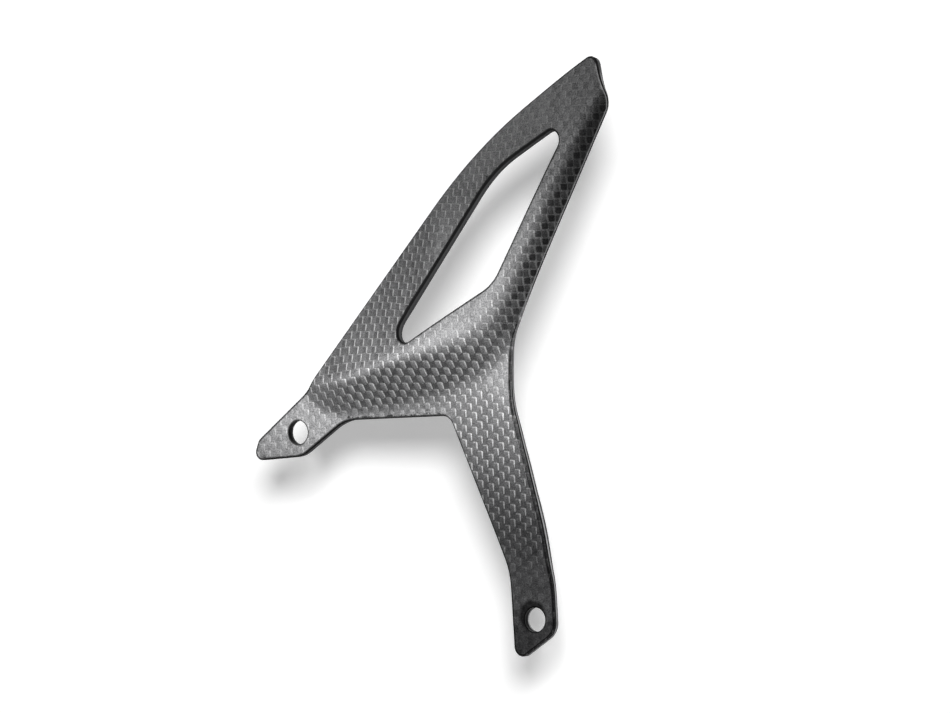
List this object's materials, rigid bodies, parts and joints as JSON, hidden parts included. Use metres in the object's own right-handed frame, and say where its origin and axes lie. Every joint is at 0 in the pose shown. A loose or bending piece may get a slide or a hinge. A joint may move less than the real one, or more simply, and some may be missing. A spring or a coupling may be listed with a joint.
{
  "type": "heel guard",
  "caption": "Moulded carbon fibre heel guard with a bolted tab, a raised plate with a long pointed window, and a leg down to a bolted foot.",
  "frame": {"origin": "centre of the tab's bolt hole, on the back face of the laminate", "axes": "+Z along the bolt hole, out of the visible face; +Y from the foot's end towards the guard's tip; +X from the tab towards the foot"},
  "size_m": [0.1177, 0.154, 0.0138],
  "materials": {
    "carbon_laminate": "carbon fibre plain weave under a thin matte resin"
  },
  "bodies": {
    "root": {"heel_guard": "carbon_laminate"}
  },
  "joints": []
}
